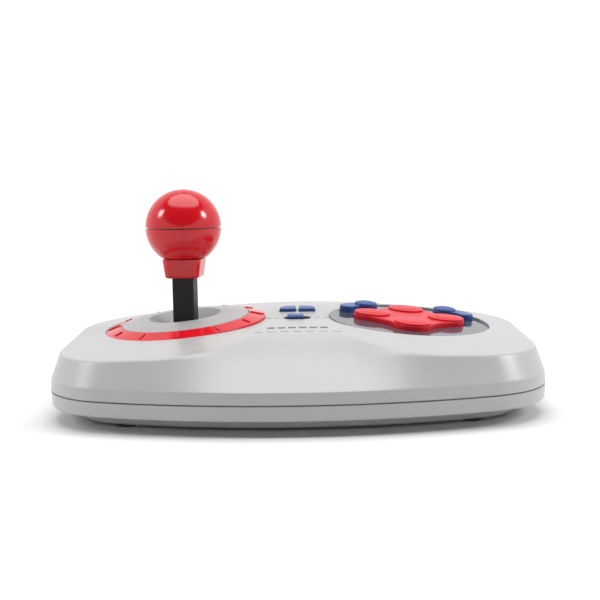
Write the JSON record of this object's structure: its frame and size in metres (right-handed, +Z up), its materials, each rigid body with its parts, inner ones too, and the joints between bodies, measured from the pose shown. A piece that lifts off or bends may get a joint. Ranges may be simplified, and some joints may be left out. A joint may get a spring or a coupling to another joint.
{
  "type": "arcade joystick controller",
  "caption": "Two-shell tabletop game controller with a ball-top stick in a marked ring, a rocking four-lobed button pad, shoulder and centre buttons and a slide switch.",
  "frame": {"origin": "centre of the bounding box in plan, at the table under the rubber feet", "axes": "+X to the player's right along the long side, +Y away from the player, +Z up"},
  "size_m": [0.2486, 0.158, 0.1128],
  "materials": {
    "shell_grey": "fine satin",
    "disc_grey": "satin",
    "plate_grey": "gloss",
    "red_gloss": "gloss",
    "red_satin": "satin",
    "blue_satin": "satin",
    "black_plastic": "satin",
    "dark_rubber": "matte",
    "steel": "brushed",
    "board_green": "semi-gloss",
    "silicone": "matte"
  },
  "bodies": {
    "body": {"top_shell": "shell_grey", "bottom_shell": "shell_grey", "stick_ring": "red_gloss", "stick_disc": "disc_grey", "button_plate": "plate_grey", "side_pad_left": "dark_rubber", "side_pad_right": "dark_rubber", "cable_gland": "black_plastic", "stick_housing": "black_plastic", "housing_screw_1": "steel", "housing_screw_2": "steel", "housing_screw_3": "steel", "housing_screw_4": "steel", "stick_switch_right": "black_plastic", "stick_switch_back": "black_plastic", "stick_switch_left": "black_plastic", "stick_switch_front": "black_plastic", "button_board": "board_green", "button_membrane": "silicone", "pad_bracket": "steel", "button_board_screw_1": "steel", "button_board_screw_2": "steel", "button_board_screw_3": "steel", "button_board_screw_4": "steel", "centre_board": "board_green", "centre_membrane": "silicone", "centre_board_screw_1": "steel", "centre_board_screw_2": "steel", "slide_bezel": "black_plastic", "slide_switch": "steel", "case_screw_1": "steel", "case_screw_2": "steel", "case_screw_3": "steel", "case_screw_4": "steel", "case_screw_5": "steel", "rubber_foot_1": "dark_rubber", "rubber_foot_2": "dark_rubber", "rubber_foot_3": "dark_rubber", "rubber_foot_4": "dark_rubber"},
    "gimbal": {"gimbal_ring": "black_plastic"},
    "stick": {"stick_shaft": "black_plastic", "stick_cross_pin": "steel", "stick_collar": "red_gloss", "ball_lower": "red_gloss", "ball_upper": "red_gloss", "stick_actuator": "black_plastic", "retaining_clip": "steel", "dust_washer": "black_plastic", "centring_spring": "steel"},
    "rocker": {"pad_rocker": "black_plastic"},
    "fire_pad": {"fire_pad": "red_satin"},
    "shoulder_left": {"shoulder_button_left": "blue_satin"},
    "shoulder_right": {"shoulder_button_right": "blue_satin"},
    "select": {"select_button": "blue_satin"},
    "start": {"start_button": "blue_satin"},
    "slider": {"slide_knob": "blue_satin"}
  },
  "joints": [
    {"name": "stick_fore_aft", "type": "hinge", "parent": "body", "child": "gimbal", "pos_m": [-0.0602, 0.019, 0.026], "axis": [1, 0, 0], "range_deg": [-8, 8], "stiffness_Nm_per_rad": 0.8},
    {"name": "stick_left_right", "type": "hinge", "parent": "gimbal", "child": "stick", "pos_m": [-0.0602, 0.019, 0.026], "axis": [0, 1, 0], "range_deg": [-8, 8], "stiffness_Nm_per_rad": 0.8},
    {"name": "pad_fore_aft", "type": "hinge", "parent": "body", "child": "rocker", "pos_m": [0.05967, 0.01929, 0.03483], "axis": [0.996, 0, -0.0889], "range_deg": [-3.5, 3.5], "stiffness_Nm_per_rad": 0.6},
    {"name": "pad_left_right", "type": "hinge", "parent": "rocker", "child": "fire_pad", "pos_m": [0.05967, 0.01929, 0.03483], "axis": [0.0042, 0.9989, 0.0473], "range_deg": [-3.5, 3.5], "stiffness_Nm_per_rad": 0.6},
    {"name": "shoulder_left_press", "type": "slide", "parent": "body", "child": "shoulder_left", "axis": [-0.0888, 0.0474, -0.9949], "range_m": [0, 0.0012], "stiffness_N_per_m": 1200},
    {"name": "shoulder_right_press", "type": "slide", "parent": "body", "child": "shoulder_right", "axis": [-0.0888, 0.0474, -0.9949], "range_m": [0, 0.0012], "stiffness_N_per_m": 1200},
    {"name": "select_press", "type": "slide", "parent": "body", "child": "select", "axis": [0, 0.0476, -0.9989], "range_m": [0, 0.001], "stiffness_N_per_m": 1200},
    {"name": "start_press", "type": "slide", "parent": "body", "child": "start", "axis": [0, 0.0476, -0.9989], "range_m": [0, 0.001], "stiffness_N_per_m": 1200},
    {"name": "slider_travel", "type": "slide", "parent": "body", "child": "slider", "axis": [1, 0, 0], "range_m": [-0.0016, 0.0035]}
  ]
}
